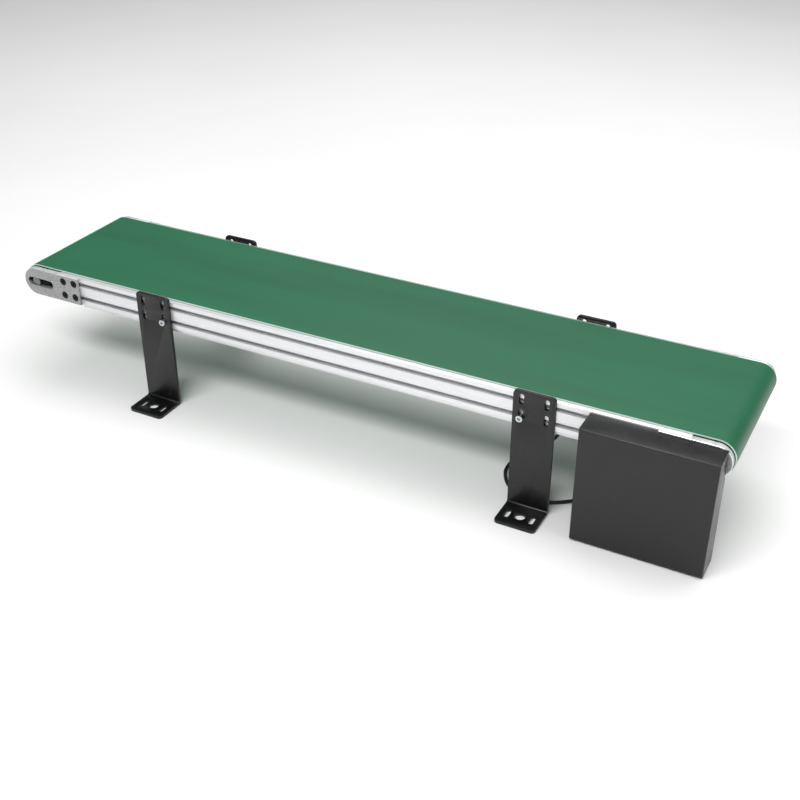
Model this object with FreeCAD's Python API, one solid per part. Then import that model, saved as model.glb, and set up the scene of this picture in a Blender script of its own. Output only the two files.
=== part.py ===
import FreeCAD, Part
import math
import os

# Belt conveyor section: an extruded-rail frame on four angle brackets, a slider bed, an endless belt
# round a driven roller and a take-up roller, and a gear motor that drives through a toothed belt.
# X runs along the belt: the take-up end is at -X and the driven end at +X.
# Y runs across it, and the drive cover is on the -Y side.  Z is up, and the feet stand on Z = 0.

# ---- driving dimensions, mm ----
shaft_spacing = 1460.0        # drive shaft to take-up axle, belt taut
frame_width = 310.0           # over the outer faces of the side rails
belt_edge_clear = 3.0         # belt to the end plates, each side
belt_thick = 2.4
belt_sag = 7.0                # return strand at mid length
belt_clear = 0.3              # roller to belt
roller_crown = 0.6            # how much smaller the roller is at its ends
roller_wall = 4.0
hub_len = 16.0
roller_end_gap = 2.0          # roller end to the end plate

# side rails
rail_h = 60.0
rail_w = 30.0
slot_up_z = 16.5              # T-slot centres above and below the roller axes
slot_low_z = 14.5
slot_mouth = 8.4
slot_lip = 4.0
slot_cavity = 15.0
slot_cavity_depth = 5.0
core_d = 12.0                 # hollow core between the slots
side_core_d = 9.0             # hollow cores above and below it
side_core_from_slot = 6.0
guard_w = 3.0                 # lip that guards the return strand's edge
guard_h = 6.0
guard_inset = 3.5             # lip's outer face in from the rail's outer face

# end plates
plate_t = 12.0
plate_proud = 5.0             # plate's outer face beyond the rail's
lap = 55.0                    # how far the plate laps over the rail
idler_plate_len = 147.0
drive_plate_len = 129.0
plate_gap = 0.5               # end of the rail to the step in the plate
lap_screw_in = 12.0           # first pair of screws from the plate's inner edge
lap_screw_pitch = 28.0
edge_break = 0.8              # chamfer round the outside face

# fasteners
m8 = 8.0
m6 = 6.0
m3 = 3.0
thread_clear = 0.2            # on the diameter of a tapped hole
through_clear = 0.8           # on the diameter of a clearance hole
csk_head_d = 16.0
csk_head_h = 4.0
csk_below = 0.4
csk_rim_clear = 0.2
cap_head_d = 13.0
cap_head_h = 8.0
hex_m8 = 6.0                  # socket in an M8 cap screw, over its flats
hex_depth = 4.5
hex_small = 5.0               # socket in every smaller or flatter head
hex_button_depth = 2.5
hex_csk_depth = 3.0
hex_m6_depth = 3.0
m6_head_d = 10.0
m6_head_h = 6.0
button_head_d = 14.0
button_head_h = 4.0
nut_bar_w = 14.0
nut_bar_t = 4.4
nut_bar_end = 10.0            # bar beyond its outermost hole
nut_gap = 0.3                 # nut to the slot's lips
screw_end_clear = 1.0         # screw end to the bottom of the slot

# take-up end
axle_d = 20.0
axle_flat_clear = 0.05        # each flat to the slot
take_up_slot_h = 18.0
take_up_slot_len = 67.5
nose_wall = 9.5               # slot end to the tip of the nose
take_up_travel = 20.0
axle_recess = 2.0             # axle end in from the plate's outer face
axle_flat_past = 0.7          # flats run this far inside the plate
hub_axle_clear = 1.0          # hub to axle, radial
take_up_head_in = 0.5         # head in from the tip of the nose
take_up_hex_depth = 3.5
take_up_screw_len = 60.0
take_up_seat_clear = 0.4
take_up_fit = 0.05            # radial, screw in axle
idler_bearing_od = 42.0
idler_bearing_w = 12.0

# driven end
shaft_d = 20.0
journal_d = 17.0
running_fit = 0.05            # radial, shafts in bearings
drive_bearing_od = 30.0
drive_bearing_w = 7.0
bearing_lip_d = 26.0
shoulder_clear = 0.5          # shaft shoulder past the roller's end
shaft_recess = 1.0            # shaft end in from the plate on the open side
shaft_past_pulley = 2.0
drive_teeth = 20              # pulley on the drive shaft
motor_teeth = 24              # pulley on the gearbox shaft
tooth_pitch = 5.0
belt_teeth = 86
pulley_w = 22.0
pulley_gap = 7.0              # pulley to the end plate
toothed_belt_w = 16.0
toothed_belt_t = 1.4
toothed_belt_clear = 0.3      # belt to the pulley's teeth
tooth_under_pitch = 0.5       # top of the teeth inside the pitch circle
tooth_depth = 1.4
tooth_root_w = 1.8            # groove at its root
tooth_mouth_w = 3.2           # groove at its mouth
tooth_mouth_past = 0.4        # cutter beyond the top of the teeth
pulley_flange_h = 2.2         # flange over the pitch circle
pulley_flange_t = 1.5

# slider bed and cross bars
bed_t = 1.0
bed_end_clear = 3.0
stringer_w = 30.0
stringer_wall = 2.0
stringer_y = 50.0
stringer_end = 80.0           # from the axle back to the stringer's end
cross_bar_w = 30.0
cross_bar_screw_len = 25.0    # shank past the rail's inner face

# leg brackets
leg_from_axle = 312.0         # bracket centre in from the take-up axle
leg_from_shaft = 320.0        # bracket centre in from the drive shaft
leg_t = 6.0
leg_w = 80.0
leg_above_axis = 39.7         # bracket top over the roller axes
leg_top_round = 8.0
leg_foot = 65.0
leg_bend_r = 4.0
leg_slot_w = 9.0
leg_slot_len = 21.0
leg_slot_dx = 24.0
leg_slot_up_z = 22.7          # slot centres from the roller axes
leg_slot_low_z = -9.3
foot_slot_dx = 24.0
foot_slot_y = 34.0            # from the bracket's outer face
foot_slot_w = 9.0
foot_slot_len = 25.0
foot_hole_d = 20.0
leg_bolt_len = 13.5

# gear motor
motor_floor_gap = 28.5        # motor above the floor
motor_drop = 107.0            # gearbox shaft below the drive shaft
shaft_offset = 18.0           # gearbox shaft above the motor axis
gearbox_size = 100.0
gearbox_len = 65.0
gearbox_wall = 6.0
gearbox_front_t = 10.0
gearbox_round = 8.0
gear_screw_in = 10.0          # gearbox screws from its sides
gear_screw_bite = 9.0
gear_tap_depth = 9.5
gear_boss_r = 9.0
output_seat_in = 0.5          # output bearing's pocket from the gearbox face
bearing_shoulder = 3.0        # lip that holds a bearing, radial
pin_depth = 5.0               # blind holes for the shafts' ends
pin_end_clear = 0.5
shield_t = 8.0
motor_d = 110.0
motor_wall = 6.0
motor_len = 142.0
motor_front_t = 3.0
bell_spigot = 5.0
bell_rim = 9.0
bell_round = 13.0
bell_len = 24.0
bell_end_r = 31.0
bell_web = 4.0                # inside of the bell's web from its joint face
bell_wall = 6.0
cap_r = 29.4
cap_t = 1.0
stator_bore = 52.0
stator_len = 90.0
air_gap = 0.5
rotor_shaft_d = 12.0
rotor_bearing_od = 24.0
rotor_bearing_w = 6.0
pinion_len = 16.0
output_d = 15.0
output_pin_d = 8.0            # rear journal of the gearbox shaft
output_bearing_od = 32.0
output_bearing_w = 9.0
counter_d = 8.0
gear_module = 0.75
pinion_teeth = 12
first_gear_teeth = 36
second_gear_teeth = 48
first_gear_w = 8.0
second_gear_w = 12.0
second_gear_side = 1.0        # pinion past the gear's faces, each side
gear_end_clear = 4.0          # gears to the gearbox's front wall
tooth_root = 1.25             # root under the pitch circle, in modules
tooth_tip = 0.85              # tip over the pitch circle, in modules
root_half = 0.30              # half a tooth at its root, in pitches
tip_half = 0.12

# mounting plate and cover
mount_t = 5.0
mount_under_rail = 1.0        # plate's right part to the rail's guard lip
mount_to_end_plate = 1.5
cover_wall = 1.5
cover_back = 220.0            # from the drive shaft towards the belt's middle
cover_front = 21.0            # from the drive shaft towards the end
cover_top_drop = 3.0          # below the rail's top face
cover_floor_gap = 4.0
cover_depth = 52.0            # from the end plate's outer face
cover_edge_round = 3.0
cover_clear = 0.5             # cover to mounting plate
mount_lip = 12.0
mount_screw_back = (190.0, 130.0)   # from the drive shaft
shaft_hole_d = 34.0
cover_notch_clear = 1.0       # cover to the end plate it reaches round
cover_notch_low = 0.5
cover_low_screws = (0.25, 0.75)     # screws along the lower edge, as shares of the cover's length
cover_side_screws = (60.0, 150.0)   # screws up the left edge, from the floor
cover_screw_head_r = 2.8
cover_screw_head_h = 1.6
cover_screw_bite = 6.5
cover_tap_depth = 8.0

# motor lead
lead_d = 7.0
lead_floor_gap = 0.5
gland_d = 20.0
gland_len = 25.0
gland_angle = 45.0
gland_y = -22.0
gland_seat = 0.8              # flat spotface in the motor frame
gland_thread_r = 6.0
gland_thread_in = 5.0
gland_thread_clear = 0.2
gland_collar_t = 6.0
gland_end_wall = 2.0
coil_mid_r = 39.0
coil_rows = 2
coil_x = 596.0
coil_y = -42.0
plug_w = 14.0
plug_h = 12.0
plug_len = 32.0
plug_pin_r = 1.4
plug_pin_dy = 3.2
plug_pin_dz = 2.6
plug_pin_depth = 8.0

# ---- derived ----
zc = motor_floor_gap + motor_d / 2 + shaft_offset + motor_drop
nose_r = rail_h / 2
drive_x = shaft_spacing / 2
idler_x = -shaft_spacing / 2
rail_face = frame_width / 2
plate_face = rail_face + plate_proud
plate_back = plate_face - plate_t
belt_width = 2 * (plate_back - belt_edge_clear)
leg_idler_x = idler_x + leg_from_axle
leg_drive_x = drive_x - leg_from_shaft
cover_left_x = drive_x - cover_back
cover_right_x = drive_x + cover_front
mount_screw_x = [drive_x - b for b in mount_screw_back]
idler_tip = idler_x - nose_r
drive_tip = drive_x + nose_r
idler_inner = idler_tip + idler_plate_len
drive_inner = drive_tip - drive_plate_len
rail_start = idler_inner - lap
rail_end = drive_inner + lap
belt_inner_r = rail_h / 2 + bed_t
roller_r = belt_inner_r - belt_clear
roller_half = plate_back - roller_end_gap
slot_z = (zc + slot_up_z, zc - slot_low_z)
cavity_outer = rail_face - slot_lip
sides = {"cover_side": -1, "open_side": 1}

os.makedirs("parts", exist_ok=True)


# Cutters run at least 1 mm past the faces they open.
def V(x, y, z):
    return FreeCAD.Vector(x, y, z)


def box(x0, x1, y0, y1, z0, z1):
    return Part.makeBox(abs(x1 - x0), abs(y1 - y0), abs(z1 - z0),
                        V(min(x0, x1), min(y0, y1), min(z0, z1)))


def rod_x(r, x0, x1, y, z):
    return Part.makeCylinder(r, abs(x1 - x0), V(min(x0, x1), y, z), V(1, 0, 0))


def rod_y(r, x, y0, y1, z):
    return Part.makeCylinder(r, abs(y1 - y0), V(x, min(y0, y1), z), V(0, 1, 0))


def rod_z(r, x, y, z0, z1):
    return Part.makeCylinder(r, abs(z1 - z0), V(x, y, min(z0, z1)), V(0, 0, 1))


def ring_y(r_out, r_in, x, y0, y1, z):
    low, high = min(y0, y1), max(y0, y1)
    return rod_y(r_out, x, low, high, z).cut(rod_y(r_in, x, low - 1, high + 1, z))


def hex_y(flats, x, y, z, depth, out):
    """Hexagonal socket whose mouth is at y and that goes in against the direction out."""
    r = flats / math.sqrt(3)
    pts = [V(x + r * math.cos(math.radians(60 * k)), y, z + r * math.sin(math.radians(60 * k)))
           for k in range(7)]
    return Part.Face(Part.makePolygon(pts)).extrude(V(0, -out * depth, 0))


def turned_y(points, x, z):
    """Solid of revolution about the Y line at x, z from (radius, y) points."""
    pts = [V(x + r, y, z) for r, y in points]
    return Part.Face(Part.makePolygon(pts + pts[:1])).revolve(V(x, 0, z), V(0, 1, 0), 360)


def fuse(shapes):
    return shapes[0].multiFuse(shapes[1:]).removeSplitter()


def save(name, shape):
    shape.exportStep("parts/%s.step" % name)


def slot_y(x, z, length, width, y0, y1, vertical=True):
    """Obround cutter along Y."""
    reach = (length - width) / 2
    if vertical:
        body = box(x - width / 2, x + width / 2, y0, y1, z - reach, z + reach)
        ends = [rod_y(width / 2, x, y0, y1, z + s * reach) for s in (-1, 1)]
    else:
        body = box(x - reach, x + reach, y0, y1, z - width / 2, z + width / 2)
        ends = [rod_y(width / 2, x + s * reach, y0, y1, z) for s in (-1, 1)]
    return fuse([body] + ends)


def t_slot(y_face, inward, z, x0, x1):
    """T-slot cutter in a face at y_face, going the way of inward."""
    mouth = box(x0, x1, y_face - inward, y_face + inward * (slot_lip + 0.01),
                z - slot_mouth / 2, z + slot_mouth / 2)
    cavity = box(x0, x1, y_face + inward * slot_lip, y_face + inward * (slot_lip + slot_cavity_depth),
                 z - slot_cavity / 2, z + slot_cavity / 2)
    return mouth.fuse(cavity)


# ---- side rails ----
def side_rail(s):
    x0, x1 = rail_start, rail_end
    inner = rail_face - rail_w
    rail = box(x0, x1, s * inner, s * rail_face, zc - rail_h / 2, zc + rail_h / 2)
    guard_y = rail_face - guard_inset
    guard = box(idler_inner, drive_inner, s * guard_y, s * (guard_y - guard_w),
                zc - rail_h / 2 - guard_h, zc - rail_h / 2)
    rail = rail.fuse(guard)
    for z in slot_z:
        rail = rail.cut(t_slot(s * rail_face, -s, z, x0 - 1, x1 + 1))
        rail = rail.cut(t_slot(s * inner, s, z, x0 - 1, x1 + 1))
        outward = side_core_from_slot if z > zc else -side_core_from_slot
        rail = rail.cut(rod_x(side_core_d / 2, x0 - 1, x1 + 1, s * (rail_face - rail_w / 2), z + outward))
    mid_z = sum(slot_z) / 2
    rail = rail.cut(rod_x(core_d / 2, x0 - 1, x1 + 1, s * (rail_face - rail_w / 2), mid_z))
    return rail.removeSplitter()


for side, s in sides.items():
    save("side_rail_" + side, side_rail(s))


# ---- cross bars, their screws, bed stringers and slider bed ----
rail_inner = rail_face - rail_w
bar_z = slot_z[1]
bar_h = 2 * slot_low_z
bars = []
bar_screws = []
for x in (leg_idler_x, 0.0, leg_drive_x):
    bar = box(x - cross_bar_w / 2, x + cross_bar_w / 2, -rail_inner, rail_inner,
              bar_z - bar_h / 2, bar_z + bar_h / 2)
    bar = bar.cut(rod_y((m8 + thread_clear) / 2, x, -rail_inner - 1, rail_inner + 1, bar_z))
    bars.append(bar)
    for s in sides.values():
        head_y = rail_inner + slot_lip
        head = rod_y(button_head_d / 2, x, s * head_y, s * (head_y + button_head_h), bar_z)
        shank = rod_y(m8 / 2, x, s * (rail_inner - cross_bar_screw_len), s * head_y, bar_z)
        screw = head.fuse(shank)
        bar_screws.append(screw.cut(hex_y(hex_small, x, s * (head_y + button_head_h), bar_z,
                                          hex_button_depth, s)))
save("cross_bars", Part.makeCompound(bars))
save("cross_bar_screws", Part.makeCompound(bar_screws))

rail_top = zc + rail_h / 2
stringers = []
for y in (-stringer_y, stringer_y):
    x0, x1 = idler_x + stringer_end, drive_x - stringer_end
    z0 = bar_z + bar_h / 2
    outer = box(x0, x1, y - stringer_w / 2, y + stringer_w / 2, z0, rail_top)
    w = stringer_wall
    bore = box(x0 - 1, x1 + 1, y - stringer_w / 2 + w, y + stringer_w / 2 - w, z0 + w, rail_top - w)
    stringers.append(outer.cut(bore))
save("bed_stringers", Part.makeCompound(stringers))

reach_at_bed = math.sqrt(roller_r ** 2 - (rail_h / 2) ** 2)
bed_start = idler_x + take_up_travel + reach_at_bed + bed_end_clear
bed_end = drive_x - reach_at_bed - bed_end_clear
save("slider_bed", box(bed_start, bed_end, -belt_width / 2, belt_width / 2, rail_top, rail_top + bed_t))


# ---- end plates ----
def end_plate(s, tip, inner, axis_x, out):
    """Nose plate: out is -1 for the take-up end and +1 for the driven end."""
    y0, y1 = s * plate_back, s * plate_face
    body = box(axis_x, inner, y0, y1, zc - nose_r, zc + nose_r)
    plate = fuse([body, rod_y(nose_r, axis_x, y0, y1, zc)])
    outline = [e for e in plate.Edges
               if abs(e.BoundBox.YMin - y1) < 1e-6 and abs(e.BoundBox.YMax - y1) < 1e-6]
    plate = plate.makeChamfer(edge_break, outline)
    step_x = inner + out * (lap + plate_gap)
    rebate = box(step_x, inner - out, y0 - s, s * rail_face, zc - nose_r - 1, zc + nose_r + 1)
    plate = plate.cut(rebate)
    for k in (0, 1):
        x = inner + out * (lap_screw_in + k * lap_screw_pitch)
        for z in slot_z:
            plate = plate.cut(rod_y((m8 + through_clear) / 2, x, y0 - s, y1 + s, z))
            seat = csk_head_h + csk_below
            r_low = m8 / 2 + through_clear / 2
            r_rim = csk_head_d / 2 + csk_rim_clear
            cone = turned_y([(0, s * (plate_face - seat)), (r_low, s * (plate_face - seat)),
                             (r_rim, s * (plate_face - csk_below)), (r_rim, s * (plate_face + 1)),
                             (0, s * (plate_face + 1))], x, z)
            plate = plate.cut(cone)
    return plate


def idler_plate(s):
    plate = end_plate(s, idler_tip, idler_inner, idler_x, -1)
    slot_mid = idler_tip + nose_wall + take_up_slot_len / 2
    plate = plate.cut(slot_y(slot_mid, zc, take_up_slot_len, take_up_slot_h,
                             s * (plate_back - 1), s * (plate_face + 1), vertical=False))
    y = s * (plate_back + plate_t / 2)
    head_r = (m6_head_d + take_up_seat_clear) / 2
    plate = plate.cut(rod_x(head_r, idler_tip - 1, idler_tip + m6_head_h + take_up_head_in, y, zc))
    plate = plate.cut(rod_x((m6 + take_up_seat_clear) / 2, idler_tip, idler_tip + nose_wall + 1, y, zc))
    return plate


def drive_plate(s):
    plate = end_plate(s, drive_tip, drive_inner, drive_x, 1)
    plate = plate.cut(rod_y(drive_bearing_od / 2, drive_x, s * (plate_back - 1),
                            s * (plate_back + drive_bearing_w), zc))
    return plate.cut(rod_y(bearing_lip_d / 2, drive_x, s * plate_back, s * (plate_face + 1), zc))


for side, s in sides.items():
    save("idler_plate_" + side, idler_plate(s))
    save("drive_plate_" + side, drive_plate(s))


# ---- end-plate screws, and nut bars in the rails' slots ----
def nut_bar(s, xs, z):
    """Flat bar behind the lips of a T-slot, with a tapped hole at each of xs."""
    y0 = s * (cavity_outer - nut_gap)
    y1 = s * (cavity_outer - nut_gap - nut_bar_t)
    bar = box(min(xs) - nut_bar_end, max(xs) + nut_bar_end, y0, y1, z - nut_bar_w / 2, z + nut_bar_w / 2)
    for x in xs:
        bar = bar.cut(rod_y((m8 + thread_clear) / 2, x, y0 + s, y1 - s, z))
    return bar


screw_end = cavity_outer - slot_cavity_depth + screw_end_clear
plate_screws = []
nut_bars = [nut_bar(-1, mount_screw_x, z) for z in slot_z]
for s in sides.values():
    for inner, out in ((idler_inner, -1), (drive_inner, 1)):
        xs = [inner + out * (lap_screw_in + k * lap_screw_pitch) for k in (0, 1)]
        for z in slot_z:
            for x in xs:
                top = plate_face - csk_below
                pts = [(0, s * top), (csk_head_d / 2, s * top), (m8 / 2, s * (top - csk_head_h)),
                       (m8 / 2, s * screw_end), (0, s * screw_end)]
                screw = turned_y(pts, x, z)
                plate_screws.append(screw.cut(hex_y(hex_small, x, s * top, z, hex_csk_depth, s)))
            nut_bars.append(nut_bar(s, xs, z))
save("end_plate_screws", Part.makeCompound(plate_screws))
save("rail_nut_bars", Part.makeCompound(nut_bars))


# ---- rollers ----
def crowned_tube(x):
    r_end = roller_r - roller_crown / 2
    flat = roller_half / 3
    pts = [(roller_r - roller_wall, -roller_half), (r_end, -roller_half), (roller_r, -flat),
           (roller_r, flat), (r_end, roller_half), (roller_r - roller_wall, roller_half)]
    return turned_y(pts, x, zc)


hub_r = roller_r - roller_wall
save("drive_roller_tube", crowned_tube(drive_x))
save("idler_roller_tube", crowned_tube(idler_x))
save("drive_roller_hubs", Part.makeCompound(
    [ring_y(hub_r, shaft_d / 2, drive_x, s * (roller_half - hub_len), s * roller_half, zc)
     for s in sides.values()]))
pocketed_hubs = []
for s in sides.values():
    hub = ring_y(hub_r, axle_d / 2 + hub_axle_clear, idler_x, s * (roller_half - hub_len),
                 s * roller_half, zc)
    hub = hub.cut(rod_y(idler_bearing_od / 2, idler_x, s * (roller_half - idler_bearing_w),
                        s * (roller_half + 1), zc))
    pocketed_hubs.append(hub)
save("idler_roller_hubs", Part.makeCompound(pocketed_hubs))
save("idler_bearings", Part.makeCompound(
    [ring_y(idler_bearing_od / 2, axle_d / 2 + running_fit, idler_x,
            s * (roller_half - idler_bearing_w), s * roller_half, zc) for s in sides.values()]))

# drive shaft: full size inside the roller, stepped down for the bearings, long on the cover side
pulley_y0 = -(plate_face + pulley_gap)
pulley_y1 = pulley_y0 - pulley_w
shaft_low = pulley_y1 - shaft_past_pulley
shaft_high = plate_face - shaft_recess
step = roller_half + shoulder_clear
drive_shaft = fuse([rod_y(shaft_d / 2, drive_x, -step, step, zc),
                    rod_y(journal_d / 2, drive_x, shaft_low, shaft_high, zc)])
save("drive_shaft", drive_shaft)
save("drive_bearings", Part.makeCompound(
    [ring_y(drive_bearing_od / 2, journal_d / 2 + running_fit, drive_x,
            s * plate_back, s * (plate_back + drive_bearing_w), zc) for s in sides.values()]))

# take-up axle: round between the plates, flats on both ends that slide in the slots
axle_end = plate_face - axle_recess
flat_h = take_up_slot_h - 2 * axle_flat_clear
axle = rod_y(axle_d / 2, idler_x, -axle_end, axle_end, zc)
screw_y = plate_back + plate_t / 2
for s in sides.values():
    for t in (-1, 1):
        axle = axle.cut(box(idler_x - axle_d, idler_x + axle_d, s * (plate_back - axle_flat_past),
                            s * (axle_end + 1), zc + t * flat_h / 2, zc + t * axle_d))
    axle = axle.cut(rod_x(m6 / 2 + take_up_fit, idler_x - axle_d, idler_x + axle_d, s * screw_y, zc))
save("idler_axle", axle)

for side, s in sides.items():
    x0 = idler_tip + take_up_head_in
    neck = x0 + m6_head_h
    head = rod_x(m6_head_d / 2, x0, neck, s * screw_y, zc)
    shank = rod_x(m6 / 2, neck, neck + take_up_screw_len, s * screw_y, zc)
    r = hex_small / math.sqrt(3)
    pts = [V(x0, s * screw_y + r * math.cos(math.radians(60 * k)), zc + r * math.sin(math.radians(60 * k)))
           for k in range(7)]
    socket = Part.Face(Part.makePolygon(pts)).extrude(V(take_up_hex_depth, 0, 0))
    save("take_up_screw_" + side, head.fuse(shank).removeSplitter().cut(socket))


# ---- conveyor belt: a flat loop that sags a little between the rollers underneath ----
def belt_face(r, sag):
    top = Part.LineSegment(V(idler_x, 0, zc + r), V(drive_x, 0, zc + r)).toShape()
    right = Part.Arc(V(drive_x, 0, zc + r), V(drive_x + r, 0, zc), V(drive_x, 0, zc - r)).toShape()
    low = Part.Arc(V(drive_x, 0, zc - r), V(0, 0, zc - r - sag), V(idler_x, 0, zc - r)).toShape()
    left = Part.Arc(V(idler_x, 0, zc - r), V(idler_x - r, 0, zc), V(idler_x, 0, zc + r)).toShape()
    return Part.Face(Part.Wire([top, right, low, left]))


def extrude_y(face, y0, y1):
    face.translate(V(0, y0, 0))
    return face.extrude(V(0, y1 - y0, 0))


belt_outer = extrude_y(belt_face(belt_inner_r + belt_thick, belt_sag), -belt_width / 2, belt_width / 2)
belt_hole = extrude_y(belt_face(belt_inner_r, belt_sag), -belt_width / 2 - 1, belt_width / 2 + 1)
save("conveyor_belt", belt_outer.cut(belt_hole))


# ---- leg brackets with their bolts and slot nuts ----
def leg_bracket(s, x):
    x0, x1 = x - leg_w / 2, x + leg_w / 2
    back, face, toe = s * rail_face, s * (rail_face + leg_t), s * (rail_face + leg_t + leg_foot)
    leg_h = zc + leg_above_axis
    upright = box(x0, x1, back, face, 0, leg_h)
    corners = [e for e in upright.Edges if abs(e.BoundBox.ZMin - leg_h) < 1e-6
               and abs(e.BoundBox.XMax - e.BoundBox.XMin) < 1e-6]
    upright = upright.makeFillet(leg_top_round, corners)
    foot = box(x0, x1, face, toe, 0, leg_t)
    corners = [e for e in foot.Edges if abs(e.BoundBox.YMin - toe) < 1e-6
               and abs(e.BoundBox.YMax - toe) < 1e-6 and abs(e.BoundBox.XMax - e.BoundBox.XMin) < 1e-6]
    foot = foot.makeFillet(leg_top_round, corners)
    bracket = fuse([upright, foot])
    inner = box(x0, x1, face, face + s * leg_bend_r, leg_t, leg_t + leg_bend_r)
    inner = inner.cut(rod_x(leg_bend_r, x0 - 1, x1 + 1, face + s * leg_bend_r, leg_t + leg_bend_r))
    heel_r = leg_t + leg_bend_r
    heel = box(x0 - 1, x1 + 1, back - s, back + s * heel_r, -1, heel_r)
    heel = heel.cut(rod_x(heel_r, x0 - 2, x1 + 2, back + s * heel_r, heel_r))
    bracket = bracket.fuse(inner).removeSplitter().cut(heel)
    for dx in (-leg_slot_dx, leg_slot_dx):
        for dz in (leg_slot_up_z, leg_slot_low_z):
            bracket = bracket.cut(slot_y(x + dx, zc + dz, leg_slot_len, leg_slot_w, back - s, face + s))
    y = s * (rail_face + leg_t + foot_slot_y)
    reach = (foot_slot_len - foot_slot_w) / 2
    for dx in (-foot_slot_dx, foot_slot_dx):
        cutter = box(x + dx - foot_slot_w / 2, x + dx + foot_slot_w / 2, y - reach, y + reach, -1, leg_t + 1)
        for t in (-1, 1):
            cutter = cutter.fuse(rod_z(foot_slot_w / 2, x + dx, y + t * reach, -1, leg_t + 1))
        bracket = bracket.cut(cutter.removeSplitter())
    return bracket.cut(rod_z(foot_hole_d / 2, x, y, -1, leg_t + 1))


legs = (("idler_cover_side", -1, leg_idler_x, leg_slot_dx, slot_z[1]),
        ("drive_cover_side", -1, leg_drive_x, -leg_slot_dx, slot_z[1]),
        ("idler_open_side", 1, leg_idler_x, leg_slot_dx, slot_z[0]),
        ("drive_open_side", 1, leg_drive_x, leg_slot_dx, slot_z[0]))
for name, s, x, bolt_dx, bolt_z in legs:
    save("leg_bracket_" + name, leg_bracket(s, x))
    bx = x + bolt_dx
    seat = rail_face + leg_t
    bolt = fuse([rod_y(cap_head_d / 2, bx, s * seat, s * (seat + cap_head_h), bolt_z),
                 rod_y(m8 / 2, bx, s * (seat - leg_bolt_len), s * seat, bolt_z)])
    save("leg_bolt_" + name, bolt.cut(hex_y(hex_m8, bx, s * (seat + cap_head_h), bolt_z, hex_depth, s)))
    save("leg_nut_" + name, nut_bar(s, [bx], bolt_z))


# ---- toothed drive ----
pitch_r = {n: n * tooth_pitch / (2 * math.pi) for n in (drive_teeth, motor_teeth)}
belt_run = belt_teeth * tooth_pitch
half_sum = math.pi * (pitch_r[drive_teeth] + pitch_r[motor_teeth])
centres = (belt_run - half_sum) / 2
output_x = drive_x - math.sqrt(centres ** 2 - motor_drop ** 2)
output_z = zc - motor_drop
motor_x = output_x
motor_z = output_z - shaft_offset


def pulley(teeth, x, z, bore_r):
    r = pitch_r[teeth] - tooth_under_pitch
    body = rod_y(r, x, pulley_y0, pulley_y1, z)
    for k in range(teeth):
        a = 2 * math.pi * k / teeth
        pts = []
        for rr, half in ((r - tooth_depth, tooth_root_w / 2), (r + tooth_mouth_past, tooth_mouth_w / 2)):
            for t in (-1, 1):
                pts.append((rr, t * half))
        order = (pts[0], pts[1], pts[3], pts[2], pts[0])
        wire = [V(x + rr * math.cos(a) - h * math.sin(a), pulley_y0 - pulley_flange_t,
                  z + rr * math.sin(a) + h * math.cos(a)) for rr, h in order]
        groove = Part.Face(Part.makePolygon(wire)).extrude(V(0, -(pulley_w - 2 * pulley_flange_t), 0))
        body = body.cut(groove)
    flange_r = pitch_r[teeth] + pulley_flange_h
    for y0 in (pulley_y0, pulley_y1 + pulley_flange_t):
        body = body.fuse(rod_y(flange_r, x, y0, y0 - pulley_flange_t, z))
    return body.removeSplitter().cut(rod_y(bore_r, x, pulley_y0 + 1, pulley_y1 - 1, z))


save("driven_pulley", pulley(drive_teeth, drive_x, zc, journal_d / 2))
save("driver_pulley", pulley(motor_teeth, output_x, output_z, output_d / 2))


def loop_face(extra):
    """Outline of the toothed belt at a distance beyond the pulleys' pitch circles."""
    r1, r2 = pitch_r[motor_teeth] + extra, pitch_r[drive_teeth] + extra
    dx, dz = drive_x - output_x, zc - output_z
    along = math.atan2(dz, dx)
    lean = math.acos((r1 - r2) / math.hypot(dx, dz))
    p = []
    for cx, cz, r in ((output_x, output_z, r1), (drive_x, zc, r2)):
        for t in (1, -1):
            a = along + t * lean
            p.append(V(cx + r * math.cos(a), 0, cz + r * math.sin(a)))
    far1 = V(output_x - r1 * math.cos(along), 0, output_z - r1 * math.sin(along))
    far2 = V(drive_x + r2 * math.cos(along), 0, zc + r2 * math.sin(along))
    edges = [Part.LineSegment(p[0], p[2]).toShape(), Part.Arc(p[2], far2, p[3]).toShape(),
             Part.LineSegment(p[3], p[1]).toShape(), Part.Arc(p[1], far1, p[0]).toShape()]
    return Part.Face(Part.Wire(edges))


mid_pulley = (pulley_y0 + pulley_y1) / 2
inner_gap = toothed_belt_clear - tooth_under_pitch
toothed = extrude_y(loop_face(inner_gap + toothed_belt_t), mid_pulley - toothed_belt_w / 2,
                    mid_pulley + toothed_belt_w / 2)
toothed = toothed.cut(extrude_y(loop_face(inner_gap), mid_pulley - toothed_belt_w,
                                mid_pulley + toothed_belt_w))
save("toothed_belt", toothed)


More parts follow.
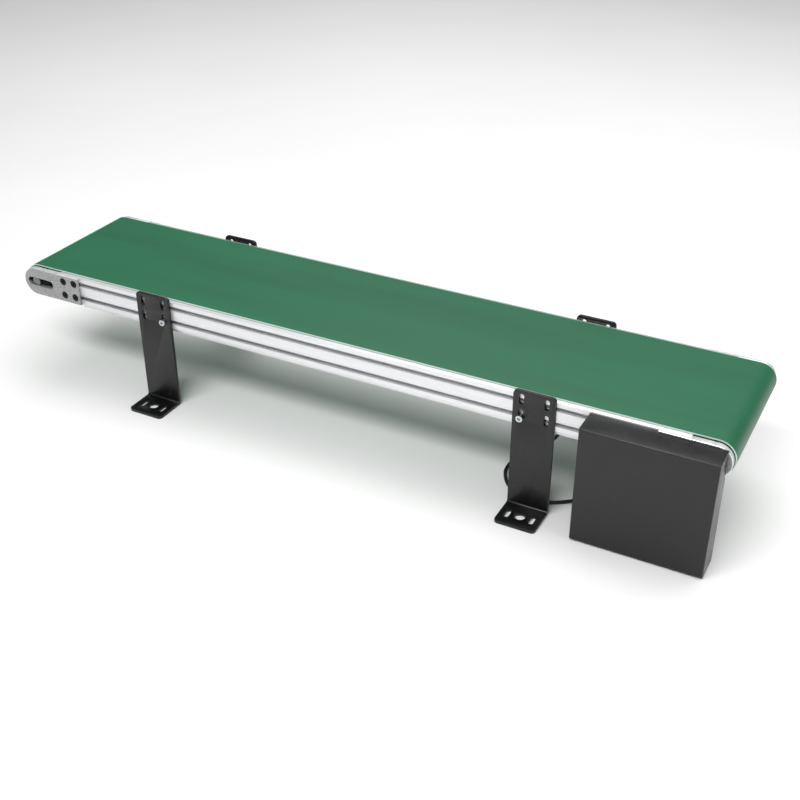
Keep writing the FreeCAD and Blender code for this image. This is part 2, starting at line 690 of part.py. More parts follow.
# ---- mounting plate, its screws, and the cover ----
mount_y0 = -rail_face
mount_y1 = -(rail_face + mount_t)
inside_left = cover_left_x + cover_wall + cover_clear
inside_right = cover_right_x - cover_wall - cover_clear
cover_top = rail_top - cover_top_drop
inside_top = cover_top - cover_wall - cover_clear
inside_low = cover_floor_gap + cover_wall + cover_clear
under_rail = zc - rail_h / 2 - guard_h - mount_under_rail
mount = fuse([box(inside_left, inside_right, mount_y1, mount_y0, inside_low, under_rail),
              box(inside_left, drive_inner - mount_to_end_plate, mount_y1, mount_y0, inside_low, inside_top),
              box(inside_left, inside_right, mount_y0, mount_y0 + mount_lip, inside_low, inside_low + mount_t)])
mount = mount.cut(rod_y(shaft_hole_d / 2, output_x, mount_y1 - 1, mount_y0 + 1, output_z))
mount_screws = []
for x in mount_screw_x:
    for z in slot_z:
        mount = mount.cut(rod_y((m8 + through_clear) / 2, x, mount_y1 - 1, mount_y0 + 1, z))
        head = rod_y(cap_head_d / 2, x, mount_y1 - cap_head_h, mount_y1, z)
        shank = rod_y(m8 / 2, x, mount_y1, -screw_end, z)
        screw = head.fuse(shank).removeSplitter()
        mount_screws.append(screw.cut(hex_y(hex_m8, x, mount_y1 - cap_head_h, z, hex_depth, -1)))

gear_screw_at = gearbox_size / 2 - gear_screw_in
gear_screws = []
for sx in (-1, 1):
    for sz in (-1, 1):
        x, z = motor_x + sx * gear_screw_at, motor_z + sz * gear_screw_at
        mount = mount.cut(rod_y((m6 + through_clear) / 2, x, mount_y1 - 1, mount_y0 + 1, z))
        head_y = mount_y1 - m6_head_h
        head = rod_y(m6_head_d / 2, x, head_y, mount_y1, z)
        screw = head.fuse(rod_y(m6 / 2, x, mount_y1, mount_y0 + gear_screw_bite, z)).removeSplitter()
        gear_screws.append(screw.cut(hex_y(hex_small, x, head_y, z, hex_m6_depth, -1)))
save("mount_plate_screws", Part.makeCompound(mount_screws))
save("gearbox_screws", Part.makeCompound(gear_screws))

cover_face = -(plate_face + cover_depth)
shell = box(cover_left_x, cover_right_x, cover_face, -rail_face, cover_floor_gap, cover_top)
front_edges = [e for e in shell.Edges if abs(e.BoundBox.YMax - cover_face) < 1e-6]
shell = shell.makeFillet(cover_edge_round, front_edges)
shell = shell.cut(box(cover_left_x + cover_wall, cover_right_x - cover_wall, cover_face + cover_wall,
                      -rail_face + 1, cover_floor_gap + cover_wall, cover_top - cover_wall))
shell = shell.cut(box(drive_inner - cover_notch_clear, cover_right_x + 1, -plate_face, -rail_face + 1,
                      zc - nose_r - cover_notch_low, cover_top + 1))
cover_screws = []
edge_y = (mount_y0 + mount_y1) / 2
for k in cover_low_screws:
    x = cover_left_x + k * (cover_right_x - cover_left_x)
    shell = shell.cut(rod_z((m3 + through_clear) / 2, x, edge_y, 0, inside_low))
    mount = mount.cut(rod_z((m3 + thread_clear) / 2, x, edge_y, inside_low - 1,
                           inside_low + cover_tap_depth))
    head = rod_z(cover_screw_head_r, x, edge_y, cover_floor_gap - cover_screw_head_h, cover_floor_gap)
    shank = rod_z(m3 / 2, x, edge_y, cover_floor_gap, inside_low + cover_screw_bite)
    cover_screws.append(head.fuse(shank).removeSplitter())
for z in cover_side_screws:
    shell = shell.cut(rod_x((m3 + through_clear) / 2, cover_left_x - 1, inside_left, edge_y, z))
    mount = mount.cut(rod_x((m3 + thread_clear) / 2, inside_left - 1, inside_left + cover_tap_depth,
                            edge_y, z))
    head = rod_x(cover_screw_head_r, cover_left_x - cover_screw_head_h, cover_left_x, edge_y, z)
    shank = rod_x(m3 / 2, cover_left_x, inside_left + cover_screw_bite, edge_y, z)
    cover_screws.append(head.fuse(shank).removeSplitter())
save("motor_mount_plate", mount)
save("drive_cover", shell)
save("cover_screws", Part.makeCompound(cover_screws))


# ---- gear motor ----
gear_y0 = mount_y0                        # gearbox face on the mounting plate
gear_y1 = gear_y0 + gearbox_len
half = gearbox_size / 2
housing = box(motor_x - half, motor_x + half, gear_y0, gear_y1, motor_z - half, motor_z + half)
long_edges = [e for e in housing.Edges if abs(e.BoundBox.YMax - e.BoundBox.YMin) > gearbox_len - 1]
housing = housing.makeFillet(gearbox_round, long_edges)
cavity = box(motor_x - half + gearbox_wall, motor_x + half - gearbox_wall, gear_y0 + gearbox_front_t,
             gear_y1 + 1, motor_z - half + gearbox_wall, motor_z + half - gearbox_wall)
for sx in (-1, 1):
    for sz in (-1, 1):
        x, z = motor_x + sx * gear_screw_at, motor_z + sz * gear_screw_at
        cavity = cavity.cut(rod_y(gear_boss_r, x, gear_y0, gear_y1 + 2, z))
housing = housing.cut(cavity)
for sx in (-1, 1):
    for sz in (-1, 1):
        x, z = motor_x + sx * gear_screw_at, motor_z + sz * gear_screw_at
        housing = housing.cut(rod_y((m6 + thread_clear) / 2, x, gear_y0 - 1, gear_y0 + gear_tap_depth, z))
housing = housing.cut(rod_y(output_bearing_od / 2, output_x, gear_y0 + output_seat_in,
                            gear_y0 + gearbox_front_t + 1, output_z))
housing = housing.cut(rod_y(output_bearing_od / 2 - bearing_shoulder, output_x, gear_y0 - 1, gear_y0 + 2,
                            output_z))

first_c = (pinion_teeth + first_gear_teeth) * gear_module / 2
second_c = (pinion_teeth + second_gear_teeth) * gear_module / 2
counter_dz = (first_c ** 2 - second_c ** 2 + shaft_offset ** 2) / (2 * shaft_offset)
counter_dx = math.sqrt(first_c ** 2 - counter_dz ** 2)
counter_x = motor_x + counter_dx
counter_z = motor_z + counter_dz
output_seat = gear_y0 + gearbox_front_t
housing = housing.cut(rod_y(counter_d / 2 + running_fit, counter_x, output_seat - pin_depth, output_seat + 1,
                            counter_z))
save("gearbox_housing", housing)

shield_y1 = gear_y1 + shield_t
shield = box(motor_x - half, motor_x + half, gear_y1, shield_y1, motor_z - half, motor_z + half)
shield = shield.makeFillet(gearbox_round, [e for e in shield.Edges
                                           if abs(e.BoundBox.YMax - e.BoundBox.YMin) > shield_t - 1])
shield = shield.cut(rod_y(rotor_bearing_od / 2, motor_x, gear_y1 - 1, gear_y1 + rotor_bearing_w, motor_z))
shield = shield.cut(rod_y(rotor_bearing_od / 2 - bearing_shoulder, motor_x, gear_y1, shield_y1 + 1, motor_z))
for pin_d, x, z in ((output_pin_d, output_x, output_z), (counter_d, counter_x, counter_z)):
    shield = shield.cut(rod_y(pin_d / 2 + running_fit, x, gear_y1 - 1, gear_y1 + pin_depth, z))
save("motor_front_shield", shield)

body_y1 = shield_y1 + motor_len
motor_r = motor_d / 2
body = ring_y(motor_r, motor_r - motor_wall, motor_x, shield_y1, body_y1, motor_z)
front_face = ring_y(motor_r - motor_wall, rotor_bearing_od / 2, motor_x, shield_y1,
                    shield_y1 + motor_front_t, motor_z)
body = body.fuse(front_face).removeSplitter()

# lead gland on the motor frame, leaning back from the belt's travel
lean = math.radians(180 - gland_angle)
gland_way = V(math.cos(lean), 0, math.sin(lean))
gland_root = V(motor_x, gland_y, motor_z)
gland_exit = gland_root + gland_way * (motor_r + gland_len)
seat_at = gland_root + gland_way * (motor_r - gland_seat)
hole_from = gland_root + gland_way * (motor_r - 2 * motor_wall - 2)
body = body.cut(Part.makeCylinder(gland_thread_r + gland_thread_clear, gland_len, hole_from, gland_way))
body = body.cut(Part.makeCylinder(gland_d / 2 + 1, gland_len, seat_at, gland_way))
save("motor_body", body)
thread = Part.makeCylinder(gland_thread_r, gland_thread_in + 1, seat_at - gland_way * gland_thread_in, gland_way)
collar = Part.makeCylinder(gland_d / 2, gland_collar_t, seat_at, gland_way)
cap_nut = Part.makeCone(gland_d / 2 - 1, lead_d / 2 + gland_end_wall, gland_len + gland_seat - gland_collar_t,
                        seat_at + gland_way * gland_collar_t, gland_way)
bore = Part.makeCylinder(lead_d / 2, 2 * gland_len + 10, seat_at - gland_way * 20, gland_way)
save("lead_gland", Part.makeCompound([thread.fuse(collar).removeSplitter().cut(bore), cap_nut.cut(bore)]))

bell_y1 = body_y1 + bell_len
rear_seat = body_y1 + bell_web + rotor_bearing_w
spigot_r = motor_r - motor_wall
round_end = (motor_r - bell_round, body_y1 + bell_rim + bell_round)
half_way = bell_round * math.sqrt(0.5)
round_mid = (motor_r - bell_round + half_way, body_y1 + bell_rim + half_way)
outline = [(motor_r, body_y1 + bell_rim), (motor_r, body_y1), (spigot_r, body_y1),
           (spigot_r, body_y1 - bell_spigot), (spigot_r - bell_wall, body_y1 - bell_spigot),
           (spigot_r - bell_wall, body_y1 + bell_web), (rotor_bearing_od / 2, body_y1 + bell_web),
           (rotor_bearing_od / 2, rear_seat), (0, rear_seat), (0, bell_y1), (bell_end_r, bell_y1), round_end]
outline = [V(motor_x + r, y, motor_z) for r, y in outline]
mid_point = V(motor_x + round_mid[0], round_mid[1], motor_z)
edges = [Part.LineSegment(a, b).toShape() for a, b in zip(outline, outline[1:])]
edges.append(Part.Arc(outline[-1], mid_point, outline[0]).toShape())
save("motor_end_bell", Part.Face(Part.Wire(edges)).revolve(V(motor_x, 0, motor_z), V(0, 1, 0), 360))
save("motor_end_cap", rod_y(cap_r, motor_x, bell_y1, bell_y1 + cap_t, motor_z))

stator_y0 = (shield_y1 + body_y1 - bell_spigot) / 2 - stator_len / 2
rotor_y1 = stator_y0 + stator_len
save("motor_stator", ring_y(motor_r - motor_wall, stator_bore / 2, motor_x, stator_y0, rotor_y1, motor_z))
rotor_r = stator_bore / 2 - air_gap
first_y0 = gear_y1 - pinion_len
bearings = [ring_y(rotor_bearing_od / 2, rotor_shaft_d / 2 + running_fit, motor_x, y, y + rotor_bearing_w,
                   motor_z) for y in (gear_y1, rear_seat - rotor_bearing_w)]
bearings.append(ring_y(output_bearing_od / 2, output_d / 2 + running_fit, output_x,
                       output_seat - output_bearing_w, output_seat, output_z))
save("gear_motor_bearings", Part.makeCompound(bearings))


def gear(teeth, x, z, y0, width, bore_r, phase):
    """Spur gear with slim straight-flanked teeth, which leave backlash."""
    m = gear_module
    pitch = teeth * m / 2
    root, tip = pitch - tooth_root * m, pitch + tooth_tip * m
    pts = []
    for k in range(teeth):
        for r, part in ((root, -root_half), (tip, -tip_half), (tip, tip_half), (root, root_half)):
            pts.append((r, 2 * math.pi * (k + part) / teeth))
    wire = [V(x + r * math.cos(a + phase), y0, z + r * math.sin(a + phase)) for r, a in pts]
    body = Part.Face(Part.makePolygon(wire + wire[:1])).extrude(V(0, width, 0))
    return body.cut(rod_y(bore_r, x, y0 - 1, y0 + width + 1, z)) if bore_r else body


# teeth meet at rest: a tooth of one gear points at a gap of the other along the line of centres
to_counter = math.atan2(counter_dz, counter_dx)
counter_to_output = math.atan2(output_z - counter_z, output_x - counter_x)
save("motor_rotor", ring_y(rotor_r, rotor_shaft_d / 2, motor_x, stator_y0, rotor_y1, motor_z))
rotor_shaft = rod_y(rotor_shaft_d / 2, motor_x, gear_y1, rear_seat - pin_end_clear, motor_z)
pinion = gear(pinion_teeth, motor_x, motor_z, first_y0, pinion_len, 0, to_counter)
save("rotor_shaft", rotor_shaft.fuse(pinion).removeSplitter())

first_phase = to_counter + math.pi + math.pi / first_gear_teeth
second_y0 = output_seat + gear_end_clear
second_y1 = second_y0 + second_gear_w + 2 * second_gear_side
pin_end = gear_y1 + pin_depth - pin_end_clear
countershaft = fuse([gear(first_gear_teeth, counter_x, counter_z, first_y0, first_gear_w, 0, first_phase),
                     gear(pinion_teeth, counter_x, counter_z, second_y0, second_y1 - second_y0, 0,
                          counter_to_output),
                     rod_y(counter_d / 2, counter_x, output_seat - pin_depth + pin_end_clear, second_y0,
                           counter_z),
                     rod_y(counter_d / 2, counter_x, second_y1, pin_end, counter_z)])
save("countershaft", countershaft)
second_phase = counter_to_output + math.pi + math.pi / second_gear_teeth
save("output_gear", gear(second_gear_teeth, output_x, output_z, second_y0 + second_gear_side, second_gear_w,
                         output_d / 2, second_phase))
output_shoulder = second_y1 + 2 * second_gear_side
save("output_shaft", fuse([rod_y(output_d / 2, output_x, shaft_low, output_shoulder, output_z),
                           rod_y(output_pin_d / 2, output_x, output_shoulder, pin_end, output_z)]))


# ---- motor lead: loose tube, stowed coil, tail and connector ----
floor_z = lead_d / 2 + lead_floor_gap
lead_route = [(gland_exit.x, gland_exit.y, gland_exit.z), (gland_exit.x - 21, gland_y, gland_exit.z + 19),
              (500, -22, 163), (466, -23, 155),
              (440, -25, 132), (421, -28, 101), (402, -28, 69), (366, -20, 40), (337, -34, 18),
              (325, -64, 7), (338, -96, floor_z), (363, -124, floor_z), (401, -135, floor_z),
              (440, -130, floor_z), (473, -107, floor_z), (504, -80, floor_z), (541, -72, floor_z),
              (580, -81, floor_z)]


def tube(points, r, name):
    pts = [V(*p) for p in points]
    edges = []
    start = pts[0]
    for i in range(1, len(pts) - 1):
        a, b, c = pts[i - 1], pts[i], pts[i + 1]
        u, v = b - a, c - b
        shorter = min(u.Length, v.Length)
        turn = u.getAngle(v)
        cut = 0.45 * shorter
        radius = cut / math.tan(turn / 2)
        print("%s bend %d: turn %.1f deg, radius %.1f mm" % (name, i, math.degrees(turn), radius))
        u.normalize()
        v.normalize()
        p, q = b - u * cut, b + v * cut
        inward = v - u
        inward.normalize()
        centre = b + inward * (radius / math.cos(turn / 2))
        mid = centre - inward * radius
        edges.append(Part.LineSegment(start, p).toShape())
        edges.append(Part.Arc(p, mid, q).toShape())
        start = q
    edges.append(Part.LineSegment(start, pts[-1]).toShape())
    path = Part.Wire(edges)
    way = pts[1] - pts[0]
    profile = Part.Wire([Part.makeCircle(r, pts[0], way)])
    solid = path.makePipeShell([profile], True, False)
    ratio = solid.Volume / (math.pi * r * r * path.Length)
    print("%s: length %.1f mm, volume / (section x length) %.4f, valid %s"
          % (name, path.Length, ratio, solid.isValid()))
    return solid


save("motor_lead", tube(lead_route, lead_d / 2, "motor_lead"))
coil_half_w = coil_rows * lead_d / 2
coil = Part.makeCylinder(coil_mid_r + coil_half_w, coil_rows * lead_d, V(coil_x, coil_y, lead_floor_gap))
coil = coil.cut(Part.makeCylinder(coil_mid_r - coil_half_w, 100, V(coil_x, coil_y, -10)))
save("motor_lead_coil", coil)
tail_route = [(coil_x + 38, coil_y - 24, floor_z + 5.5), (coil_x + 59, coil_y - 6, floor_z + 1.5),
              (coil_x + 84, coil_y + 12, floor_z)]
save("motor_lead_tail", tube(tail_route, lead_d / 2, "motor_lead_tail"))
plug_dir = V(25, 18, 0)
plug_dir.normalize()
plug_side = V(-plug_dir.y, plug_dir.x, 0)
plug_base = V(tail_route[-1][0], tail_route[-1][1], lead_floor_gap) - plug_side * (plug_w / 2)
corners = [plug_base, plug_base + plug_dir * plug_len, plug_base + plug_dir * plug_len + plug_side * plug_w,
           plug_base + plug_side * plug_w, plug_base]
plug = Part.Face(Part.makePolygon(corners)).extrude(V(0, 0, plug_h))
pin_base = V(tail_route[-1][0], tail_route[-1][1], lead_floor_gap + plug_h / 2) + plug_dir * plug_len
for k in (-1, 1):
    for j in (-1, 1):
        at = pin_base + plug_side * (plug_pin_dy * k) + V(0, 0, plug_pin_dz * j)
        plug = plug.cut(Part.makeCylinder(plug_pin_r, plug_pin_depth + 1, at - plug_dir * plug_pin_depth,
                                          plug_dir))
save("motor_lead_connector", plug)
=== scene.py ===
import math

import bpy
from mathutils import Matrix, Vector


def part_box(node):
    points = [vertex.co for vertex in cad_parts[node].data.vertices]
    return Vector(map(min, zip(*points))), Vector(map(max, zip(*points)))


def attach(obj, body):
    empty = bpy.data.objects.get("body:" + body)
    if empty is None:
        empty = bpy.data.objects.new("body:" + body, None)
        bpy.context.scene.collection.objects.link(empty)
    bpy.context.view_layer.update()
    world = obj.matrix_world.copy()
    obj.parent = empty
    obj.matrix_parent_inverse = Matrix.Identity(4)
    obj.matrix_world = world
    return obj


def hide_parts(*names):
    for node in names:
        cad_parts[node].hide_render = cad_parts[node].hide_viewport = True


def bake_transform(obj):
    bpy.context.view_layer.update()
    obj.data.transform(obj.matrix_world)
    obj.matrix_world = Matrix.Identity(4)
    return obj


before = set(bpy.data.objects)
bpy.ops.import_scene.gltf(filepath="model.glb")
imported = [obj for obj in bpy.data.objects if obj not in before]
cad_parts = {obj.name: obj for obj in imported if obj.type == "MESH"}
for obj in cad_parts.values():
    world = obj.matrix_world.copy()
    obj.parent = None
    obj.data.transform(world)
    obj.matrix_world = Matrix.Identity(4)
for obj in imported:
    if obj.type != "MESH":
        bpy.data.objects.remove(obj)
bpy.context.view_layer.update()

# ---- Camera ----
# A camera on a tall stand off the corner of the driven end, looking down, with a slightly long lens.
# It is turned so that the conveyor sits in the middle of the frame, with no shift.
camera_place = (1.0208, -1.8345, 1.3185)
camera_turn = 27.6
camera_down = 31.5
lens_data = bpy.data.cameras.new("camera")
lens_data.lens = 53.55
lens_data.sensor_width = 36.0
camera = bpy.data.objects.new("camera", lens_data)
camera.location = camera_place
camera.rotation_euler = (math.radians(90.0 - camera_down), 0.0, math.radians(camera_turn))
bpy.context.scene.collection.objects.link(camera)
bpy.context.scene.camera = camera


# ---- Motor lead ----
# A round black PVC-sheathed lead, 7 mm thick, that leaves the gland on the motor, rises over, hangs in a loop
# beside the leg bracket and runs back along the floor to a small coil of spare lead and its connector.
mm_per_metre = 1000.0       # the finishes are sized in millimetres, the model in metres


def linear(colour):
    """A six-figure sRGB hex colour as linear red, green, blue and alpha."""
    values = [int(colour[i:i + 2], 16) / 255.0 for i in (0, 2, 4)]
    return [v / 12.92 if v <= 0.04045 else ((v + 0.055) / 1.055) ** 2.4 for v in values] + [1.0]


def add(tree, kind, settings, links):
    """Adds one node: settings are inputs or properties by name, links are fed by other nodes' outputs."""
    made = tree.nodes.new(kind)
    for name, value in settings.items():
        if name in made.inputs:
            made.inputs[name].default_value = value
        else:
            setattr(made, name, value)
    for name, source in links.items():
        tree.links.new(source, made.inputs[name])
    return made


def finish(name, colour, roughness, metallic=0.0, coat=0.0, coat_roughness=0.12):
    """A material with its one shader, whose even values are set on the shader itself."""
    material = bpy.data.materials.new(name)
    material.use_nodes = True
    shader = material.node_tree.nodes["Principled BSDF"]
    shader.inputs["Base Color"].default_value = linear(colour)
    shader.inputs["Roughness"].default_value = roughness
    shader.inputs["Metallic"].default_value = metallic
    shader.inputs["Coat Weight"].default_value = coat
    shader.inputs["Coat Roughness"].default_value = coat_roughness
    return material


def work_surface(material, grain_mm, relief_mm, patch_mm, darker, rough, stretch=(1.0, 1.0, 1.0),
                 speckle=0.0, patch_stretch=None):
    """Gives a finish its fine grain as relief and its broad patches as changes of colour and gloss.

    rough is the roughness from the glossiest patches to the dullest. stretch draws the grain out along X, Y or
    Z, and patch_stretch the patches where they differ. speckle is how much of the grain shows as colour. Real
    grain finer than about half a millimetre is drawn at half to one millimetre, because less would not show.
    """
    tree = material.node_tree
    shader = tree.nodes["Principled BSDF"]
    base = list(shader.inputs["Base Color"].default_value)
    place = add(tree, "ShaderNodeTexCoord", {}, {})
    drawn = add(tree, "ShaderNodeMapping", {"Scale": stretch}, {"Vector": place.outputs["Object"]})
    grain = add(tree, "ShaderNodeTexNoise",
                {"Scale": mm_per_metre / grain_mm, "Detail": 4.0, "Roughness": 0.6},
                {"Vector": drawn.outputs["Vector"]})
    spread = add(tree, "ShaderNodeMapping", {"Scale": patch_stretch or stretch},
                 {"Vector": place.outputs["Object"]})
    patch = add(tree, "ShaderNodeTexNoise",
                {"Scale": mm_per_metre / patch_mm, "Detail": 3.0, "Roughness": 0.55},
                {"Vector": spread.outputs["Vector"]})
    blend = add(tree, "ShaderNodeMix", {"data_type": "FLOAT", "Factor": speckle},
                {"A": patch.outputs["Fac"], "B": grain.outputs["Fac"]})
    steps = add(tree, "ShaderNodeMapRange", {"From Min": 0.36, "From Max": 0.66},
                {"Value": blend.outputs["Result"]})
    colours = add(tree, "ShaderNodeValToRGB", {}, {"Fac": steps.outputs["Result"]})
    colours.color_ramp.elements[0].color = linear(darker)
    colours.color_ramp.elements[1].color = base
    gloss = add(tree, "ShaderNodeMapRange",
                {"From Min": 0.35, "From Max": 0.65, "To Min": rough[0], "To Max": rough[1]},
                {"Value": patch.outputs["Fac"]})
    relief = add(tree, "ShaderNodeBump", {"Strength": 1.0, "Distance": relief_mm / mm_per_metre},
                 {"Height": grain.outputs["Fac"]})
    tree.links.new(colours.outputs["Color"], shader.inputs["Base Color"])
    tree.links.new(gloss.outputs["Result"], shader.inputs["Roughness"])
    tree.links.new(relief.outputs["Normal"], shader.inputs["Normal"])


def coat_nodes(material, *names):
    """Gives a material to CAD nodes whose shape is already right."""
    for name in names:
        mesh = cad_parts[name].data
        mesh.materials.clear()
        mesh.materials.append(material)


lead_width = 0.007
lead_route = [(0.5545, -0.022, 0.1401), (0.5335, -0.022, 0.1591), (0.500, -0.022, 0.163),
              (0.466, -0.023, 0.155), (0.440, -0.025, 0.132), (0.421, -0.028, 0.101), (0.402, -0.028, 0.069),
              (0.366, -0.020, 0.040), (0.337, -0.034, 0.018), (0.325, -0.064, 0.007), (0.338, -0.096, 0.004),
              (0.363, -0.124, 0.004), (0.401, -0.135, 0.004), (0.440, -0.130, 0.004), (0.473, -0.107, 0.004),
              (0.504, -0.080, 0.004), (0.541, -0.072, 0.004)]
tail_route = [(0.634, -0.066, 0.0095), (0.655, -0.048, 0.0055), (0.680, -0.030, 0.004)]
coil_centre = (0.596, -0.042)
outer_turn = 0.0425         # radius of the outer turns, to the middle of the lead
inner_turn = 0.0355
low_layer = 0.004           # height of the middle of the lead in each layer
high_layer = 0.011
steps_per_turn = 16
first_angle = math.radians(-112.3)
coil_turns = 3.17
step_in = (0.70, 0.96)      # turns between which the lead moves to the inner radius, up a layer and out again
step_up = (1.60, 1.92)
step_out = (2.48, 2.78)
pull_in = 0.981             # a smooth spline runs this much inside its points


def eased(turn, start, end):
    """0 before start and 1 after end, with a soft change between."""
    along = min(max((turn - start) / (end - start), 0.0), 1.0)
    return along * along * (3.0 - 2.0 * along)


coil_route = []
for step in range(int(coil_turns * steps_per_turn) + 1):
    turn = step / steps_per_turn
    radius = outer_turn - (outer_turn - inner_turn) * (eased(turn, *step_in) - eased(turn, *step_out))
    height = low_layer + (high_layer - low_layer) * eased(turn, *step_up)
    angle = first_angle + turn * 2.0 * math.pi
    coil_route.append((coil_centre[0] + radius / pull_in * math.cos(angle),
                       coil_centre[1] + radius / pull_in * math.sin(angle), height))
route = lead_route + coil_route + tail_route
lead_line = bpy.data.curves.new("motor_lead_line", "CURVE")
lead_line.dimensions = "3D"
lead_line.bevel_depth = lead_width / 2.0
lead_line.bevel_resolution = 5
lead_line.resolution_u = 6
lead_line.use_fill_caps = True
spline = lead_line.splines.new("NURBS")
spline.points.add(len(route) - 1)
for point, place in zip(spline.points, route):
    point.co = (*place, 1.0)
spline.order_u = 3
spline.use_endpoint_u = True
lead = bpy.data.objects.new("motor_lead_sheath", lead_line)
bpy.context.scene.collection.objects.link(lead)
# plasticised PVC sheath: near black, low gloss, faintly uneven from the extruder
lead_pvc = finish("soft_pvc_sheath_black", "141415", roughness=0.46)
work_surface(lead_pvc, grain_mm=1.2, relief_mm=0.03, patch_mm=14.0, darker="0c0c0d", rough=(0.38, 0.55))
lead_line.materials.append(lead_pvc)
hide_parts("motor_lead", "motor_lead_coil", "motor_lead_tail")
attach(lead, "frame")
# moulded natural nylon housing: warm off-white with a soft sheen
nylon = finish("moulded_nylon_natural", "d6d0c0", roughness=0.42)
work_surface(nylon, grain_mm=0.9, relief_mm=0.02, patch_mm=9.0, darker="c4bca8", rough=(0.34, 0.52))
coat_nodes(nylon, "motor_lead_connector")


# ---- Side rails ----
# Two hollow aluminium extrusions, 60 by 30 mm, with two T-slots in each side, sawn to length and anodised
# silver. They carry the bed, the end plates and the leg brackets.
weld_reach = 0.000002       # points nearer than this are one point
flat_under = 0.6            # degrees between faces that are taken as one flat


def look_at_alone(piece):
    """Deselects everything else and makes this piece the active one."""
    bpy.ops.object.select_all(action="DESELECT")
    piece.select_set(True)
    bpy.context.view_layer.objects.active = piece


def welded_copy(name, new_name):
    """A free copy of a CAD node, with its doubled points welded. It is left open in edit mode."""
    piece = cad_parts[name].copy()
    piece.data = piece.data.copy()
    for key in list(piece.keys()):
        del piece[key]
    piece.parent = None
    piece.name = new_name
    bpy.context.scene.collection.objects.link(piece)
    look_at_alone(piece)
    bpy.ops.mesh.customdata_custom_splitnormals_clear()
    bpy.ops.object.mode_set(mode="EDIT")
    bpy.ops.mesh.select_all(action="SELECT")
    bpy.ops.mesh.remove_doubles(threshold=weld_reach)
    return piece


def round_off(piece, width, segments, from_angle, smooth_under):
    """Rounds the corners sharper than from_angle, and shades smooth what bends less than smooth_under."""
    rounder = piece.modifiers.new("round", "BEVEL")
    rounder.width = width
    rounder.segments = segments
    rounder.limit_method = "ANGLE"
    rounder.angle_limit = math.radians(from_angle)
    bpy.ops.object.modifier_apply(modifier=rounder.name)
    bpy.ops.object.shade_smooth_by_angle(angle=math.radians(smooth_under))


def ease_edges(name, material, body, width_mm, from_angle=40.0):
    """A copy of a CAD node with its sharp corners eased by a small round, which stands for the node."""
    piece = welded_copy(name, name + "_eased")
    bpy.ops.mesh.dissolve_limited(angle_limit=math.radians(flat_under))
    bpy.ops.object.mode_set(mode="OBJECT")
    round_off(piece, width_mm / mm_per_metre, 2, from_angle, 32.0)
    piece.data.materials.clear()
    piece.data.materials.append(material)
    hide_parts(name)
    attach(piece, body)
    return piece


# clear anodised 6063: pale, soft metallic, with fine die lines that run the length of the extrusion
anodised = finish("clear_anodised_extrusion", "eeeff0", roughness=0.32, metallic=0.6)
work_surface(anodised, grain_mm=0.8, relief_mm=0.012, patch_mm=60.0, darker="cfd0d2",
             rough=(0.26, 0.38), stretch=(0.012, 1.0, 1.0), speckle=0.45)
for side in ("cover_side", "open_side"):
    ease_edges("side_rail_" + side, anodised, "frame", width_mm=0.35)


# ---- Cross bars and their screws ----
# Three square bars, cut from drawn aluminium and tapped at each end, tie the rails together under the bed.
# Each is held by a black button-head screw whose head slides in the rail's inner slot.
# aluminium as drawn: dull grey metal with die lines along the bar
mill_finish = finish("drawn_aluminium_mill_finish", "bfc1c3", roughness=0.42, metallic=0.9)
work_surface(mill_finish, grain_mm=1.0, relief_mm=0.02, patch_mm=35.0, darker="a6a8ab",
             rough=(0.36, 0.52), stretch=(1.0, 0.03, 1.0), speckle=0.3)
ease_edges("cross_bars", mill_finish, "frame", width_mm=0.5)
# blackened alloy steel: near black, oiled, with a dull metal glint at the rims
black_oxide = finish("black_oxide_steel", "1d1e21", roughness=0.38, metallic=0.75)
work_surface(black_oxide, grain_mm=0.7, relief_mm=0.02, patch_mm=5.0, darker="121215", rough=(0.30, 0.48))
coat_nodes(black_oxide, "cross_bar_screws")


# ---- Slider bed ----
# A galvanised steel sheet that the belt slides on, laid over two square aluminium tubes that run between the
# rollers and rest on the cross bars.
# hot-dip galvanised steel: grey metal with faint spangle
galvanised = finish("galvanised_sheet", "b7babc", roughness=0.40, metallic=0.9)
work_surface(galvanised, grain_mm=9.0, relief_mm=0.01, patch_mm=22.0, darker="9c9fa3",
             rough=(0.32, 0.50), speckle=0.5)
coat_nodes(galvanised, "slider_bed")
# aluminium tube as drawn, with die lines along its length
tube_finish = finish("drawn_tube_mill_finish", "bcbec0", roughness=0.42, metallic=0.9)
work_surface(tube_finish, grain_mm=1.0, relief_mm=0.02, patch_mm=35.0, darker="a3a5a8",
             rough=(0.36, 0.52), stretch=(0.03, 1.0, 1.0), speckle=0.3)
ease_edges("bed_stringers", tube_finish, "frame", width_mm=0.6)


# ---- End plates ----
# Four round-nosed plates milled from 12 mm aluminium and bead blasted, which leaves a dense grey grain. The
# outside edge is chamfered after blasting, so it shines.
blasted = finish("bead_blasted_aluminium", "c4c5c4", roughness=0.50, metallic=0.7)
# blasting grit pits are a few tenths of a millimetre; drawn at 1.5 mm so that the grain shows
work_surface(blasted, grain_mm=1.5, relief_mm=0.22, patch_mm=40.0, darker="7d7e7e",
             rough=(0.44, 0.58), speckle=0.85)
